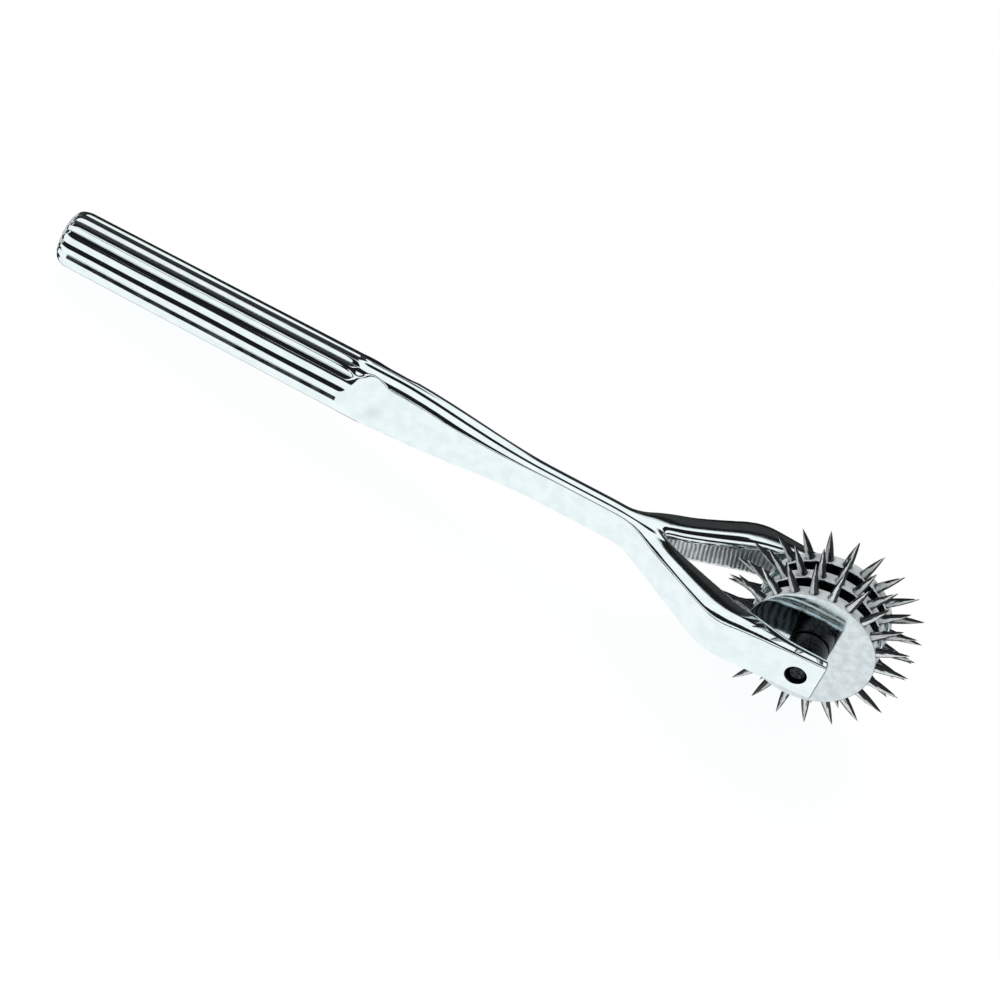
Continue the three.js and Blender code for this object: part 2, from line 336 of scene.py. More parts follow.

# Pins: painted reflections in their colour, dark along their edges, lighter in the middle, each a little
# different.
# Their own lengths are in metres, and the edge shares count half thicknesses from a pin's middle.
pinLook = {
    "dark": (0.010, 0.012, 0.013, 1), "light": (0.90, 0.96, 0.97, 1), "metallic": 0.10,
    "roughness": 0.14, "roughnessSpread": 0.10, "lineScale": 1800, "lineDetail": 2.0,
    "lineDepth": 1.2e-6, "base": 0.0126, "tip": 0.0196, "thickness": 0.00098, "tipShare": 0.08,
    "darkBelowShares": (-0.42, -0.12), "darkAboveShares": (0.48, 0.66), "spreadShare": 0.5,
    "streakScale": 900.0, "streakDetail": 2.0, "streakAcross": 4.0, "streakAlong": 0.5,
    "streakShare": 1.2, "dimEnds": (0.35, 1.0), "dimmestShare": 0.55,
}


def pinMaterial():
    look = pinLook
    material, shader = newMaterial("pinSteel")
    place = shader.place()
    x, y, z = shader.axes(place)
    across, up, radius = shader.aboutAxle(x, z)
    # angle in pins, whole at straight down, so that every pin has its middle half past a whole
    turns = up.math("ARCTAN2", across) * (pinsPerRow / (2 * math.pi)) + pinsPerRow * 0.75
    aside = turns.math("FRACT") - 0.5
    pin = turns.math("FLOOR")
    row = (y * (1 / (spindle["rowPitch"] * resting["metresPerMillimetre"]))).math("ROUND")
    chance = shader.node("ShaderNodeTexWhiteNoise", {"noise_dimensions": "2D"},
                         {"Vector": shader.vector(pin, row, 0.0)})
    narrowing = shader.between(radius, look["base"], look["tip"], 1.0, look["tipShare"])
    sideways = aside * radius * (2 * math.pi / pinsPerRow)
    streakSpace = shader.vector(sideways * look["streakAcross"], y * look["streakAcross"],
                                radius * look["streakAlong"])
    streaks = shader.noise(streakSpace, look["streakScale"], look["streakDetail"])
    edgeShare = sideways / (narrowing * look["thickness"])
    edgeShare = edgeShare + (chance - 0.5) * look["spreadShare"] + (streaks - 0.5) * look["streakShare"]
    # painted reflection: the pin's colour dark at its edges and light in its middle
    lit = shader.between(edgeShare, *look["darkBelowShares"])
    lit = lit * shader.between(edgeShare, *look["darkAboveShares"], 1.0, 0.0)
    lit = lit * shader.between(chance + streaks, *look["dimEnds"], look["dimmestShare"], 1.0)
    tint = shader.blend(lit, look["dark"], look["light"])
    lines = shader.noise(place, look["lineScale"], look["lineDetail"])
    roughness = lines * look["roughnessSpread"] + look["roughness"]
    shader.finishSteel(tint, look["metallic"], roughness, lines * look["lineDepth"])
    return material


polishedHandle = steelMaterial("polishedHandle")
polishedDisc = steelMaterial("polishedDisc")
brushedRim = steelMaterial("brushedRim")
pinSteel = pinMaterial()
axleSteel = steelMaterial("axleSteel")
paintedDarkReflection = steelMaterial("paintedDarkReflection")
filedFar = filedMaterial("filedFar")
filedNearShaded = filedMaterial("filedNearShaded")
print("materials made")

# The forging: grip, scooped shoulder, neck and fork. Pairs are places along X where a change
# begins and ends.
handle = {
    # grip and flutes
    "gripEnd": -159.7, "shoulder": -97.9, "endRadius": 5.68, "gripRadius": 6.0, "endRounding": 3.2,
    "endFullness": 2.4, "flutes": 14, "fluteHalfWidth": 1.0, "fluteWallDegrees": 23.0,
    "bottomSoftness": 0.12, "edgeSoftness": 0.004, "crispDegrees": 15.0, "landPillow": 0.03,
    "pillowFade": 2.0, "runOutStart": -99.4, "runOutCurve": 1.6,
    "wanderDegrees": 0.8, "wanderLength": 27.0, "secondWave": 3.4, "waveTwist": 5.0, "wanderFade": 4.0,
    # sample places from a flute's bottom (0) to a land's middle (1), crowded at the flute's edge
    "fluteShares": (0.0, 0.04, 0.09, 0.17, 0.30, 0.46, 0.60, 0.69, 0.7427, 0.80, 0.88, 1.0),
    # painted dark reflection on a flute's wall at half height: in flutes from the top, and along X
    "darkReflectionFlutes": (3.5, 3.8), "darkReflectionRun": (-157.2, -99.6),
    # crowned top and scooped side
    "crownStart": (-101.5, -96.0), "barEnd": (-90.0, -66.0), "barRise": 6.0,
    "crownDriftShares": (-0.20, 0.16), "driftStartShares": (-0.7, -0.4),
    "scoopStart": -98.0, "scoopEnd": -88.0, "scoopSharpness": 4.0, "scoopClearance": 0.3,
    "scoopSlope": 0.8, "scoopTurnDegrees": 58.0, "farScoopTurnDegrees": 88.0,
    "scoopTurnShares": (0.1, 0.8),
    # neck
    "neckHalfWidth": 2.66, "neckTaper": (-92.0, -58.0), "neckThinning": (-80.0, -54.0),
    "waistRadius": 3.68, "waistHalfWidth": 1.76, "widestEdge": 3.5,
    # arms
    "rootEdgeHeight": 3.15, "rootUnderHeight": 3.3, "rootStart": (-45.8, -39.8),
    "rootCrown": (-44.8, -37.8), "splay": -39.8, "splaySoftening": 2.5, "splitHalfLength": 4.0,
    "bend": -18.3, "bendHalfSpread": 15.75, "bendSoftening": 3.5, "reach": 4.4, "toeInSetback": 0.5,
    "tipHalfSpread": 14.15, "tipEdgeHeight": 4.5, "tipUnderHeight": 4.1, "armRise": (-31.0, -9.0),
    "underRise": (-38.0, -6.0), "seat": -4.0, "crotch": -33.6, "crotchRounding": 0.5,
    "innerBend": -16.5, "innerBendHalfSpread": 8.0, "innerSoftening": 2.0, "seatHalfSpread": 10.9,
    "mouthRounding": 1.5, "mouthLead": 1.6, "mouthSteps": 260, "tipRounding": 0.6, "tipInsetRun": 5.0,
    # rounding between top and side, wider on the far arm's back
    "creaseSoftness": 0.4, "nearCreaseSoftness": 0.5, "farBackSoftness": 3.6,
    "farBackStart": (-38.0, -21.0),
    # bores, and the bar that cuts them: how far aside and how deep the flare's steps lie
    "boreRadius": 2.0, "boreFlare": 0.15, "flareShares": ((0.3, 0.5), (0.0, 1.4)),
    "boreSides": 96, "cutterReach": 3.0, "cutterLift": 0.02,
    # rings that close the two ends, rows down a filed face, steps along a crown, and the search
    # for the top
    "endShares": (0.0, 0.25, 0.5, 0.75), "tipShares": (0.7, 0.4, 0.15, 0.0), "faceRows": 15,
    "crownSteps": 401, "searchReach": 30.0, "searchSteps": 34,
}
forkApex = handle["crotch"] + handle["crotchRounding"]  # where the opening between the arms begins

# how the crowned tops fall towards the near side: (share from the far edge -1 to the near edge 1, slope)
crowns = {
    "neck": ((-1.0, -0.40), (-0.72, -0.10), (-0.66, 0.09), (-0.08, 0.12), (-0.01, 0.25),
             (0.14, 0.25), (0.21, 0.11), (0.72, 0.12), (0.78, 0.38), (1.0, 0.45)),
    "root": ((-1.0, -0.14), (-0.7, -0.02), (-0.5, 0.07), (0.16, 0.11), (0.22, 0.22), (0.32, 0.22),
             (0.38, 0.10), (0.84, 0.11), (0.88, 0.36), (1.0, 0.42)),
    "nearArm": ((-1.0, -0.10), (-0.30, -0.02), (0.05, 0.04), (0.28, 0.09), (0.80, 0.11),
                (0.86, 0.36), (1.0, 0.44)),
    "nearTip": ((-1.0, -0.08), (0.0, -0.01), (0.15, 0.07), (0.50, 0.10), (0.68, 0.11),
                (0.74, 0.36), (1.0, 0.44)),
    "farArm": ((-1.0, -0.10), (0.0, -0.03), (0.14, 0.04), (0.44, 0.11), (0.50, 0.24), (0.60, 0.24),
               (0.66, 0.11), (1.0, 0.12)),
    "farTip": ((-1.0, -0.10), (0.0, -0.02), (0.15, 0.05), (0.5, 0.09), (1.0, 0.10)),
}


def fluteAngles():
    # half a turn from the top land's middle to the bottom land's, every flute sampled alike
    h = handle
    shares = np.array(h["fluteShares"])
    pitch = np.concatenate([0.5 - shares[::-1] / 2, 0.5 + shares[1:-1] / 2])
    count = h["flutes"] // 2
    turns = np.concatenate([pitch + index for index in range(count)] + [[count]])
    return turns * 2 * np.pi / h["flutes"]


def skinFinish(side, skin):
    # slot 3, a painted dark reflection, on the lower wall of the near flute at half height; slot 0
    # elsewhere
    h = handle
    slack = 0.01
    turns = fluteAngles()[:-1] * h["flutes"] / (2 * np.pi)
    wall = (turns > h["darkReflectionFlutes"][0] - slack) & (turns < h["darkReflectionFlutes"][1]) & (side < 0)
    stations = skin[:-1, 0, 0]
    along = (stations > h["darkReflectionRun"][0]) & (stations < h["darkReflectionRun"][1])
    return np.where(along[:, None] & wall[None, :], 3, 0)


def wanderAngle(x, angle, side):
    # the flutes wander a little along the grip: two sines, none on the top, bottom or past the grip
    h = handle
    waves = np.sin(x / h["wanderLength"] * 2 * np.pi)
    waves = waves + np.sin(x / h["wanderLength"] * h["secondWave"] + angle * h["waveTwist"])
    fade = smoothStep(h["runOutStart"] + h["wanderFade"], h["runOutStart"], x)
    return side * math.radians(h["wanderDegrees"]) / 2 * waves * np.sin(angle) * fade


def plainRadius(x):
    # the bar's radius before fluting: a slight cone, then a smooth fall to the waist
    h = handle
    along = np.clip((x - h["gripEnd"]) / (h["shoulder"] - h["gripEnd"]), 0, 1)
    body = mixed(h["endRadius"], h["gripRadius"], along)
    return body + (h["waistRadius"] - h["gripRadius"]) * smoothStep(*h["neckTaper"], x)


def barRadius(x, angle):
    # domed at the end; straight-walled flutes that rise out before the shoulder
    h = handle
    toEnd = 1 - np.clip((x - h["gripEnd"]) / h["endRounding"], 0, 1)
    drop = h["endRounding"] * (1 - (1 - toEnd ** h["endFullness"]) ** (1 / h["endFullness"]))
    body = plainRadius(x)
    pitch = 2 * np.pi / h["flutes"]
    aside = np.abs(np.mod(angle, pitch) - pitch / 2) * h["gripRadius"]
    lift = np.maximum(x - h["runOutStart"], 0) ** 2 / (2 * h["runOutCurve"])
    wall = math.tan(math.radians(h["fluteWallDegrees"]))
    bottom = h["bottomSoftness"]
    climb = wall * (np.sqrt(aside ** 2 + bottom ** 2) - math.hypot(h["fluteHalfWidth"], bottom))
    fromLand = pitch * h["gripRadius"] / 2 - aside
    pillow = h["landPillow"] * smoothStep(h["runOutStart"] + h["pillowFade"], h["runOutStart"], x)
    land = body - pillow * fromLand ** 2
    return smoothMinimum(land, body + climb + lift, h["edgeSoftness"]) - drop


def neckHalfWidth(x):
    # the neck's half width, falling smoothly to the waist's
    h = handle
    change = h["waistHalfWidth"] - h["neckHalfWidth"]
    return h["neckHalfWidth"] + change * smoothStep(*h["neckThinning"], x)


def outerSide(x):
    # the neck's side, straight out from the splay to the bend, then straight and slightly inwards
    h = handle
    rise = (h["bendHalfSpread"] - h["waistHalfWidth"]) / (h["bend"] - h["splay"])
    toeIn = (h["bendHalfSpread"] - h["tipHalfSpread"]) / (h["reach"] - h["toeInSetback"] - h["bend"])
    splay = rise * pastCorner(x, h["splay"], h["splaySoftening"])
    return neckHalfWidth(x) + splay - (rise + toeIn) * pastCorner(x, h["bend"], h["bendSoftening"])


def innerSide(x):
    # a hyperbola that rounds the crotch, straight to the inner bend, less steep to the level seat
    h = handle
    rise = h["innerBendHalfSpread"] / (h["innerBend"] - h["crotch"])
    tail = (h["seatHalfSpread"] - h["innerBendHalfSpread"]) / (h["seat"] - h["innerBend"])
    past = np.maximum(x - forkApex, 0)
    opening = rise * np.sqrt(past ** 2 + 2 * h["crotchRounding"] * past)
    bend = (rise - tail) * pastCorner(x, h["innerBend"], h["innerSoftening"])
    return opening - bend - tail * pastCorner(x, h["seat"], h["innerSoftening"])


def armPlan(x):
    # outer and inner side, drawn in where the arm's end is rounded as a quarter circle, and that inset
    h = handle
    into = np.maximum(x - h["reach"] + h["tipRounding"], 0)
    inset = h["tipRounding"] - np.sqrt(np.maximum(h["tipRounding"] ** 2 - into ** 2, 0))
    drawnIn = inset * smoothStep(forkApex, forkApex + h["tipInsetRun"], x)
    inner = np.where(x > forkApex, innerSide(x) + drawnIn, 0.0)
    return outerSide(x) - inset, inner, inset


def towardsArms(x):
    # 0 on the neck, 1 on the arms
    return smoothStep(forkApex - handle["splitHalfLength"], forkApex + handle["splitHalfLength"], x)


def edgeHeights(x, outer, inset):
    # heights of the top's and the underside's edge: the round bar's where the neck's flat side cuts
    # it, then the arm's, which rise towards its tip
    h = handle
    armEdge = mixed(h["rootEdgeHeight"], h["tipEdgeHeight"], smoothStep(*h["armRise"], x)) - inset
    armUnder = mixed(h["rootUnderHeight"], h["tipUnderHeight"], smoothStep(*h["underRise"], x)) - inset
    narrow = np.minimum(outer, h["widestEdge"])
    neckEdge = np.sqrt(np.maximum(plainRadius(x) ** 2 - narrow ** 2, 1.0))
    armStart = smoothStep(*h["rootStart"], x)
    return mixed(neckEdge, armEdge, armStart), mixed(neckEdge, armUnder, armStart)


def crownRise(name, share):
    # the falls summed from the far edge to the near edge, level at their mean
    places = np.linspace(-1, 1, handle["crownSteps"])
    falls = np.interp(places, *zip(*crowns[name]))
    fallen = np.cumsum((falls[1:] + falls[:-1]) / 2) * (places[1] - places[0])
    height = -np.concatenate([[0], fallen])
    height -= (height[0] + height[-1]) / 2
    return np.interp(share, places, height)


def crownTop(side, x, y, outer, inner, edge):
    # the crowned top's height: edge height and crown rise times half width, on the neck about its
    # middle, where the ridges drift towards the near side, and on the arm about its own middle
    h = handle
    neckShare = -side * y / outer
    along = np.clip((x - h["scoopEnd"]) / (h["neckThinning"][1] - h["scoopEnd"]), 0, 1)
    drift = mixed(*h["crownDriftShares"], along)
    drifted = neckShare - drift * smoothStep(*h["driftStartShares"], neckShare)
    towardsRoot = smoothStep(*h["rootCrown"], x)
    neckRise = mixed(crownRise("neck", drifted), crownRise("root", neckShare), towardsRoot)
    neckTop = edge + outer * neckRise
    armHalf = (outer - inner) / 2
    armShare = -side * (y - (outer + inner) / 2) / armHalf
    armName, tipName = ("farArm", "farTip") if side > 0 else ("nearArm", "nearTip")
    towardsTip = smoothStep(h["bend"] - h["bendSoftening"], h["bend"] + h["bendSoftening"], x)
    armRise = mixed(crownRise(armName, armShare), crownRise(tipName, armShare), towardsTip)
    armTop = edge + armHalf * armRise
    return mixed(neckTop, armTop, towardsArms(x))


def mouthDrop(x, y):
    # the top's edge rounded down into the opening between the arms: a quarter circle's drop by the
    # distance to the opening's outline
    h = handle
    along = forkApex + np.linspace(0, 1, h["mouthSteps"]) ** 2 * (h["reach"] + 2 - forkApex)
    away = np.full(x.shape, np.inf)
    for edgeX, edgeY in zip(along, innerSide(along)):
        away = np.minimum(away, (x - edgeX) ** 2 + (y - edgeY) ** 2)
    away = np.minimum(np.sqrt(away), h["mouthRounding"])
    return h["mouthRounding"] - np.sqrt(h["mouthRounding"] ** 2 - (h["mouthRounding"] - away) ** 2)


def reachToTop(side, x, angle, outer, inner, inset):
    # the greatest distance from the inner side, along a ray at the angle from straight up, that is
    # still under the top or over the underside, found by halving
    h = handle
    under = angle > np.pi / 2
    sin = np.maximum(np.sin(angle), 1e-9)
    cos = np.abs(np.cos(angle))
    edge, underEdge = edgeHeights(x, outer, inset)
    atMouth = x[:, 0] > forkApex - h["mouthLead"]
    low, high = np.zeros(x.shape), np.full(x.shape, h["searchReach"])
    for _ in range(h["searchSteps"]):
        reach = (low + high) / 2
        y = inner + reach * sin
        top = np.where(under, underEdge, crownTop(side, x, y, outer, inner, edge))
        top[atMouth] -= mouthDrop(x[atMouth], y[atMouth])
        inside = reach * cos < top
        low = np.where(inside, reach, low)
        high = np.where(inside, high, reach)
    return low


def reachToSide(side, x, angle, width):
    # distance to a flat cut along the ray: it starts outside the grip as a facet that faces up, and
    # comes in and turns down to the neck's flat side
    h = handle
    share = np.clip((x - h["scoopStart"]) / (h["scoopEnd"] - h["scoopStart"]), 0, 1)
    deep = (1 - share) ** h["scoopSharpness"]
    before = np.maximum(h["scoopStart"] - x, 0) * h["scoopSlope"]
    distance = mixed(width, h["gripRadius"] + h["scoopClearance"], deep) + before
    turned = h["scoopTurnDegrees"] if side < 0 else h["farScoopTurnDegrees"]
    facing = np.radians(mixed(turned, 90.0, smoothStep(*h["scoopTurnShares"], share)))
    across = np.cos(angle - facing)
    return np.where(across > 1e-6, distance / np.maximum(across, 1e-6), 1e6)


def creaseWidth(side, x):
    # width of the rounding between top and side
    h = handle
    if side > 0:
        return mixed(h["creaseSoftness"], h["farBackSoftness"], smoothStep(*h["farBackStart"], x))
    return mixed(h["creaseSoftness"], h["nearCreaseSoftness"], towardsArms(x))


def forgingStations():
    # places along X, closer together where the shape changes faster
    h = handle
    shoulder = h["shoulder"]
    dome = h["gripEnd"] + h["endRounding"] * (1 - np.cos(np.linspace(0, np.pi / 2, 15)))
    stations = [dome, np.linspace(dome[-1], h["runOutStart"] - 0.6, 40)]
    for start, end, step in (
        (h["runOutStart"] - 0.4, shoulder + 4, 0.2),
        (shoulder + 4, shoulder + 12, 0.35),
        (shoulder + 12, h["splay"] - 4, 1.0),
        (h["splay"] - 4, forkApex - 2, 0.4),
        (forkApex - 2, forkApex, 0.2),
        (forkApex + 2.4, h["reach"] - h["tipRounding"], 0.5),
    ):
        stations.append(np.arange(start, end, step))
    stations.append(forkApex + 0.02 * np.arange(11) ** 2)
    tipStart = h["reach"] - h["tipRounding"]
    stations.append(tipStart + h["tipRounding"] * np.sin(np.linspace(0, np.pi / 2, 8)))
    return np.unique(np.round(np.concatenate(stations), 5))


def outerSkin(side, stations):
    # sections by distance from the inner side: the lesser of the way to the top and to the side,
    # and the bar's round top gives way to the crown where the scoop ends
    h = handle
    x, even = np.meshgrid(stations, fluteAngles(), indexing="ij")
    angle = even + wanderAngle(x, even, side)
    outer, inner, inset = armPlan(x)
    bar = barRadius(x, even)
    onTop = mixed(bar, reachToTop(side, x, angle, outer, inner, inset), smoothStep(*h["crownStart"], x))
    onTop = np.minimum(onTop, bar + h["barRise"] * smoothStep(*h["barEnd"], x))
    onSide = reachToSide(side, x, angle, outer - inner)
    reach = smoothMinimum(onTop, onSide, creaseWidth(side, x))
    skin = np.stack([x, side * (inner + reach * np.sin(angle)), reach * np.cos(angle)], -1)
    skin[:, 0, 1] = side * inner[:, 0]
    skin[:, -1, 1] = side * inner[:, -1]
    return skin


def shrunkRings(middle, ring, shares):
    # copies of a ring drawn in to a middle point, one for each share
    return mixed(middle, ring, np.reshape(shares, (-1, 1, 1)))


def forgingGrids(side):
    # half of the forging on one side: its outer skin, and the arm's filed face past the crotch
    h = handle
    stations = forgingStations()
    skin = outerSkin(side, stations)
    arm = skin[stations >= forkApex - 1e-6]
    down = np.linspace(0, 1, h["faceRows"])[:, None]
    face = mixed(arm[:, None, 0], arm[:, None, -1], down)
    outer, inner, _ = armPlan(stations[-1:])
    tip = np.array([h["reach"], side * (outer[0] + inner[0]) / 2, 0.0])
    end = np.array([h["gripEnd"], 0.0, 0.0])
    skin = np.concatenate([shrunkRings(end, skin[0], h["endShares"]), skin,
                           shrunkRings(tip, skin[-1], h["tipShares"])])
    return skin, np.concatenate([face, shrunkRings(tip, face[-1], h["tipShares"])])


def turnedGrid(profile, sides):
    # (radius, y) points carried round the axle
    turn = np.arange(sides) * 2 * np.pi / sides
    radius, y = profile[:, :1], profile[:, 1:]
    along = np.broadcast_to(y, (len(profile), sides))
    return toWorld(np.stack([radius * np.cos(turn), along, radius * np.sin(turn)], -1))


def boreCutter():
    # a bar through both arms that flares at each mouth in two steps
    h = handle
    mouth = float(outerSide(np.array(0.0)))
    flare = h["boreFlare"]
    radius = h["boreRadius"]
    out = h["cutterReach"]
    half = [(0.0, mouth + out), (radius + flare + out, mouth + out),
            (radius + flare, mouth + h["cutterLift"])]
    half += [(radius + flare * aside, mouth - flare * deep) for aside, deep in h["flareShares"]]
    return np.array(half + [(r, -y) for r, y in half[::-1]])


def applyModifiers(piece):
    graph = bpy.context.evaluated_depsgraph_get()
    done = bpy.data.meshes.new_from_object(piece.evaluated_get(graph))
    piece.modifiers.clear()
    piece.data = done


def crispEdges(piece):
    # the flutes' edges are ground sharp; the rest of the forging stays smooth
    shape = bmesh.new()
    shape.from_mesh(piece.data)
    limit = toWorld([handle["runOutStart"], 0.0, 0.0])[0]
    for edge in shape.edges:
        onGrip = max(vertex.co.x for vertex in edge.verts) < limit
        if onGrip and len(edge.link_faces) == 2:
            edge.smooth = edge.calc_face_angle() < math.radians(handle["crispDegrees"])
    shape.to_mesh(piece.data)
    shape.free()


def makeForging():
    # material slots: 0 polished, 1 filed with painted shade, 2 filed, 3 a painted dark reflection
    grids = []
    for side, filed in ((-1, 1), (1, 2)):
        skin, face = forgingGrids(side)
        grids.append((toWorld(skin), False, skinFinish(side, skin)))
        grids.append((toWorld(face), False, filed))
    finishes = [polishedHandle, filedNearShaded, filedFar, paintedDarkReflection]
    forging = makePiece("forged_handle", grids, finishes, weld=2e-7)
    bar = turnedGrid(boreCutter(), handle["boreSides"])
    cutter = makePiece("bore_cutter", [(bar, True, 1)], finishes[:2])
    cut = forging.modifiers.new("bore", "BOOLEAN")
    cut.operation = "DIFFERENCE"
    cut.solver = "EXACT"
    cut.object = cutter
    bpy.context.view_layer.update()
    applyModifiers(forging)
    bpy.data.objects.remove(cutter)
    crispEdges(forging)
    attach(forging, "handle")
    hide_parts("handle_fork")
    return forging


forging = makeForging()
print("forging made:", len(forging.data.polygons), "faces")


def roundedRun(points, rounding, steps=5):
    # a profile with each inner corner replaced by a parabola that takes less than half of a side
    points = np.asarray(points, float)
    made = [points[:1]]
    for before, here, after in zip(points[:-2], points[1:-1], points[2:]):
        into, out = before - here, after - here
        cut = min(rounding, np.linalg.norm(into) / 2.2, np.linalg.norm(out) / 2.2)
        start = here + into / np.linalg.norm(into) * cut
        end = here + out / np.linalg.norm(out) * cut
        share = np.linspace(0, 1, steps)[:, None]
        made.append((1 - share) ** 2 * start + 2 * share * (1 - share) * here + share ** 2 * end)
    made.append(points[-1:])
    return np.concatenate(made)


def makeAxle():
    # turned bar with two shoulders, and a centre mark and a chamfer at each end
    s = spindle
    end = float(outerSide(np.array(0.0))) - s["recess"]
    inMark, atRim = s["centreRadii"]
    journal = s["journalRadius"]
    half = [(0.0, end - s["centreDepth"]), (inMark, end - s["centreDepth"]),
            (atRim, end - s["centreRim"]), (journal - s["endChamfer"], end),
            (journal, end - s["endChamfer"]), (journal, s["shoulder"]), (s["bodyRadius"], s["shoulder"])]
    profile = roundedRun(half + [(r, -y) for r, y in half[::-1]], s["chamfer"] / 2)
    axle = makePiece("axle_shaft", [(turnedGrid(profile, s["sides"]), True, 0)], [axleSteel])
    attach(axle, "handle")
    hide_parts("axle")


def makeSpacer(name, node, start, end):
    # tube whose profile starts and ends at the middle of its bore
    s = spindle
    bore = s["bodyRadius"] + s["spacerBoreGap"]
    outside = s["spacerRadius"]
    low, high = start + s["spacerEndGap"], end - s["spacerEndGap"]
    middle = (start + end) / 2
    loop = [(bore, middle), (bore, low), (outside, low), (outside, high), (bore, high), (bore, middle)]
    profile = roundedRun(loop, s["chamfer"])
    spacer = makePiece(name, [(turnedGrid(profile, s["sides"]), True, 0)], [axleSteel])
    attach(spacer, "handle")
    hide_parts(node)


def makeSpacers():
    s = spindle
    edge = s["discHalf"] + s["clearance"]
    outer = s["rowPitch"] + edge
    makeSpacer("far_outer_sleeve", "far_outer_spacer", outer, s["shoulder"])
    makeSpacer("far_middle_sleeve", "far_middle_spacer", edge, s["rowPitch"] - edge)
    makeSpacer("near_middle_sleeve", "near_middle_spacer", edge - s["rowPitch"], -edge)
    makeSpacer("near_outer_sleeve", "near_outer_spacer", -s["shoulder"], -outer)


makeAxle()
makeSpacers()
print("axle and spacers made")

# Discs and pins
disc = {"radius": 12.8, "bore": 2.8, "edge": 0.28, "socketRadius": 1.12, "socketEdge": 0.2,
        "socketDepth": 0.16, "rimDepth": 0.5, "columnsPerPin": 16, "faceRings": 16,
        "edgeRings": 6, "polishedEdgeRings": 2, "rimRings": 8, "boreRings": 5}
pins = {"tip": 19.4, "base": 12.55, "radius": 0.88, "flare": 0.12, "flareLength": 0.35,
        "sharpness": 1.6, "fullness": 0.9, "sides": 20, "rings": 18, "ringCrowding": 0.85,
        "leanDegrees": 1.6, "shorter": 0.28, "bow": 0.16}


def discProfile():
    # (radius, y) from the bore's far end over the far face and its rounded edge to the rim's middle,
    # the same mirrored, and through the bore; and the ends of the rim's band, which takes in the
    # outer part of both rounded edges
    d = disc
    half = spindle["discHalf"]
    face = np.linspace(d["bore"], d["radius"] - d["edge"], d["faceRings"])
    arc = np.linspace(0, np.pi / 2, d["edgeRings"])[1:]
    cornerRadius = d["radius"] - d["edge"] + d["edge"] * np.sin(arc)
    cornerY = half - d["edge"] + d["edge"] * np.cos(arc)
    rimY = np.linspace(half - d["edge"], 0, d["rimRings"])[1:]
    radius = np.concatenate([face, cornerRadius, np.full(len(rimY), d["radius"])])
    y = np.concatenate([np.full(len(face), half), cornerY, rimY])
    radius = np.concatenate([radius, radius[-2::-1]])
    y = np.concatenate([y, -y[-2::-1]])
    rimStart = len(face) + d["polishedEdgeRings"]
    rimEnd = len(radius) - rimStart
    through = np.linspace(-half, half, d["boreRings"])[1:]
    radius = np.concatenate([radius, np.full(len(through), d["bore"])])
    return radius, np.concatenate([y, through]), rimStart, rimEnd


def discGrid(radius, y, middle):
    # the profile carried round, less a shallow socket in the rim round each pin
    d = disc
    sides = pinsPerRow * d["columnsPerPin"]
    turn = np.arange(sides) * 2 * np.pi / sides
    pitch = 2 * np.pi / pinsPerRow
    aside = (np.mod(turn - np.pi / 2, pitch) - pitch / 2) * d["radius"]
    away = np.hypot(aside[None, :], y[:, None])
    onRim = smoothStep(d["radius"] - d["rimDepth"], d["radius"], radius)[:, None]
    sunk = smoothStep(d["socketRadius"], d["socketRadius"] - d["socketEdge"], away) * onRim
    reach = radius[:, None] - d["socketDepth"] * sunk
    along = np.broadcast_to(y[:, None] + middle, reach.shape)
    return toWorld(np.stack([reach * np.cos(turn), along, reach * np.sin(turn)], -1), tilted=False)


def pinGrids(y, seed):
    # each pin is turned from a bullet profile, radius times (1 - share to a power) to a power, with
    # a small flare at its foot, then leaned, bowed by the share squared and set at its angle
    p = pins
    chance = np.random.default_rng(seed)
    share = np.concatenate([[0.0], np.linspace(0, 1, p["rings"]) ** p["ringCrowding"]])
    turn = np.arange(p["sides"]) * 2 * np.pi / p["sides"]
    grids = []
    for index in range(pinsPerRow):
        length = p["tip"] - p["base"] - p["shorter"] * chance.random()
        lean = np.radians(p["leanDegrees"]) * chance.uniform(-1, 1, 2)
        bow = p["bow"] * chance.uniform(-1, 1, 2)
        along = share * length
        thick = p["radius"] * (1 - share ** p["sharpness"]) ** p["fullness"]
        thick = thick + p["flare"] * np.exp(-(along / p["flareLength"]) ** 2)
        thick[0] = 0.0
        thick[-1] = 0.0
        aside, across = along * np.tan(lean[:, None]) + bow[:, None] * share ** 2
        aside = thick[:, None] * np.cos(turn) + aside[:, None]
        across = thick[:, None] * np.sin(turn) + across[:, None]
        outward = np.broadcast_to((p["base"] + along)[:, None], aside.shape)
        angle = -np.pi / 2 + (index + 0.5) * 2 * np.pi / pinsPerRow
        points = np.stack([outward * math.cos(angle) - aside * math.sin(angle), across + y,
                           outward * math.sin(angle) + aside * math.cos(angle)], -1)
        grids.append((toWorld(points, tilted=False), True, 0))
    return grids


def makeRow(row, body, y, seed, discNode, pinNodes):
    # a disc in three bands, with a brushed rim between polished faces, and its pins
    radius, across, rimStart, rimEnd = discProfile()
    grid = discGrid(radius, across, y)
    bands = [(grid[:rimStart + 1], True, 0), (grid[rimStart:rimEnd], True, 1),
             (grid[rimEnd - 1:], True, 0)]
    plate = makePiece(f"{row}_plate", bands, [polishedDisc, brushedRim])
    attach(plate, body)
    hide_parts(discNode)
    spikes = makePiece(f"{row}_pins", pinGrids(y, seed), [pinSteel])
    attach(spikes, body)
    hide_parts(*pinNodes)


for row, y, seed in (("near", -spindle["rowPitch"], 3), ("far", spindle["rowPitch"], 11)):
    nodes = [f"{row}_pin_{index + 1:02d}" for index in range(pinsPerRow)]
    makeRow(row, f"{row}_wheel", y, seed, f"{row}_disc", nodes)
makeRow("middle", "middle_wheel", 0.0, 7, "middle_pin_disc", ["middle_pin_disc"])
print("discs and pins made")

